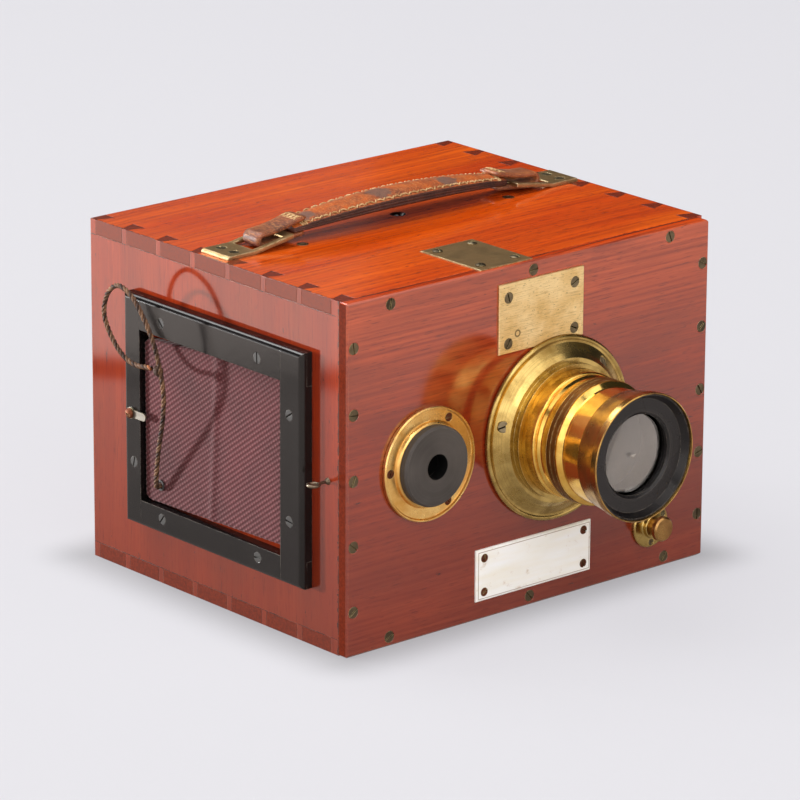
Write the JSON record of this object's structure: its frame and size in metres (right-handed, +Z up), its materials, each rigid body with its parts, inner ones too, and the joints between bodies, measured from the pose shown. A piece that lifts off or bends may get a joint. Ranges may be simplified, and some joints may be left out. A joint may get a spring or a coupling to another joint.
{
  "type": "hand camera",
  "caption": "Mahogany box camera with a brass lens, a finder, a push-button release, a cloth-covered side flap with a cord, and a leather handle.",
  "frame": {"origin": "centre of the case's bottom face, at the mouth of the tripod bush", "axes": "+Z up; -Y is the way the lens points; +X is to the right seen from in front, so the flap is on the -X side"},
  "size_m": [0.2236, 0.2298, 0.1651],
  "materials": {
    "mahogany": "french polished",
    "brass": "lacquered, polished",
    "tarnished_brass": "tarnished",
    "steel": "worn bright",
    "iron": "browned",
    "ebonised_wood": "ebonised, semi-gloss",
    "ebonite": "dull",
    "glass": "polished",
    "blackened_metal": "dull black",
    "ivory": "satin",
    "leather": "worn",
    "cloth": "ribbed weave",
    "board": "matte",
    "cord": "twisted",
    "bronze": "bronzed, matte"
  },
  "bodies": {
    "case": {"top_board": "mahogany", "bottom_board": "mahogany", "left_side_board": "mahogany", "right_side_board": "mahogany", "front_panel": "mahogany", "panel_screws": "tarnished_brass", "fitting_screws": "brass", "small_screws": "iron", "fine_screws": "brass", "lens_flange": "brass", "lens_barrel": "brass", "lens_tube": "brass", "lens_hood": "brass", "front_lens_cell": "blackened_metal", "front_glass": "glass", "rear_glass": "glass", "iris_leaves": "blackened_metal", "finder_flange": "brass", "finder_disc": "ebonite", "finder_glass": "glass", "release_escutcheon": "brass", "front_plate": "brass", "nameplate": "ivory", "top_plate": "tarnished_brass", "top_plate_screws": "tarnished_brass", "handle_bracket_left": "tarnished_brass", "handle_bracket_right": "tarnished_brass", "bracket_screws": "tarnished_brass", "handle_strap": "leather", "strap_loops": "leather", "frame_stile_front": "ebonised_wood", "frame_stile_rear": "ebonised_wood", "frame_rail_top": "ebonised_wood", "frame_rail_low": "ebonised_wood", "side_frame_screws": "iron", "turn_button_screw": "tarnished_brass", "screw_eye": "tarnished_brass", "hinge_leaves_fixed": "brass", "hinge_pins": "brass", "partition": "mahogany", "plate_trough": "mahogany", "plate_sheaths": "blackened_metal", "shutter_plate": "brass", "shutter_pivots": "brass", "tripod_bush": "brass"},
    "back_door": {"back_door": "mahogany", "hinge_leaves_moving": "brass", "door_screws": "brass", "door_pull_plate": "brass"},
    "pull_ring": {"door_pull_ring": "brass"},
    "flap": {"side_flap": "board", "flap_cloth": "cloth", "cord_eyelet": "blackened_metal", "cord": "cord", "cord_knot": "cord"},
    "turn_button": {"turn_button": "steel"},
    "release": {"release_button": "brass"},
    "catch": {"shutter_catch": "brass"},
    "blade": {"shutter_blade": "blackened_metal"},
    "iris": {"iris_ring": "bronze"}
  },
  "joints": [
    {"name": "back_door_hinge", "type": "hinge", "parent": "case", "child": "back_door", "pos_m": [0.0935, 0.08675, 0.076], "axis": [0, 0, -1], "range_deg": [0, 110]},
    {"name": "pull_ring_hinge", "type": "hinge", "parent": "back_door", "child": "pull_ring", "pos_m": [-0.0715, 0.0881, 0.076], "axis": [1, 0, 0], "range_deg": [0, 150]},
    {"name": "flap_hinge", "type": "hinge", "parent": "case", "child": "flap", "pos_m": [-0.1053, -0.0484, 0.0746], "axis": [0, 0, 1], "range_deg": [0, 95]},
    {"name": "turn_button_pivot", "type": "hinge", "parent": "case", "child": "turn_button", "pos_m": [-0.1075, 0.0501, 0.0746], "axis": [1, 0, 0], "range_deg": [-90, 90]},
    {"name": "release_slide", "type": "slide", "parent": "case", "child": "release", "axis": [0, 1, 0], "range_m": [0, 0.0028], "stiffness_N_per_m": 300, "springref_m": -0.001},
    {"name": "catch_pivot", "type": "hinge", "parent": "case", "child": "catch", "pos_m": [0.085, -0.0756, 0.0209], "axis": [0, 0, -1], "range_deg": [0, 10.8]},
    {"name": "blade_pivot", "type": "hinge", "parent": "case", "child": "blade", "pos_m": [0.0135, -0.0775, 0.0385], "axis": [0, 1, 0], "range_deg": [0, 55], "stiffness_Nm_per_rad": 0.02},
    {"name": "iris_turn", "type": "hinge", "parent": "case", "child": "iris", "pos_m": [0.0135, -0.1106, 0.0765], "axis": [0, -1, 0], "range_deg": [0, 60]}
  ],
  "couplings": [
    {"joint": "catch_pivot", "follows": "release_slide", "rad_per_m": 66}
  ]
}
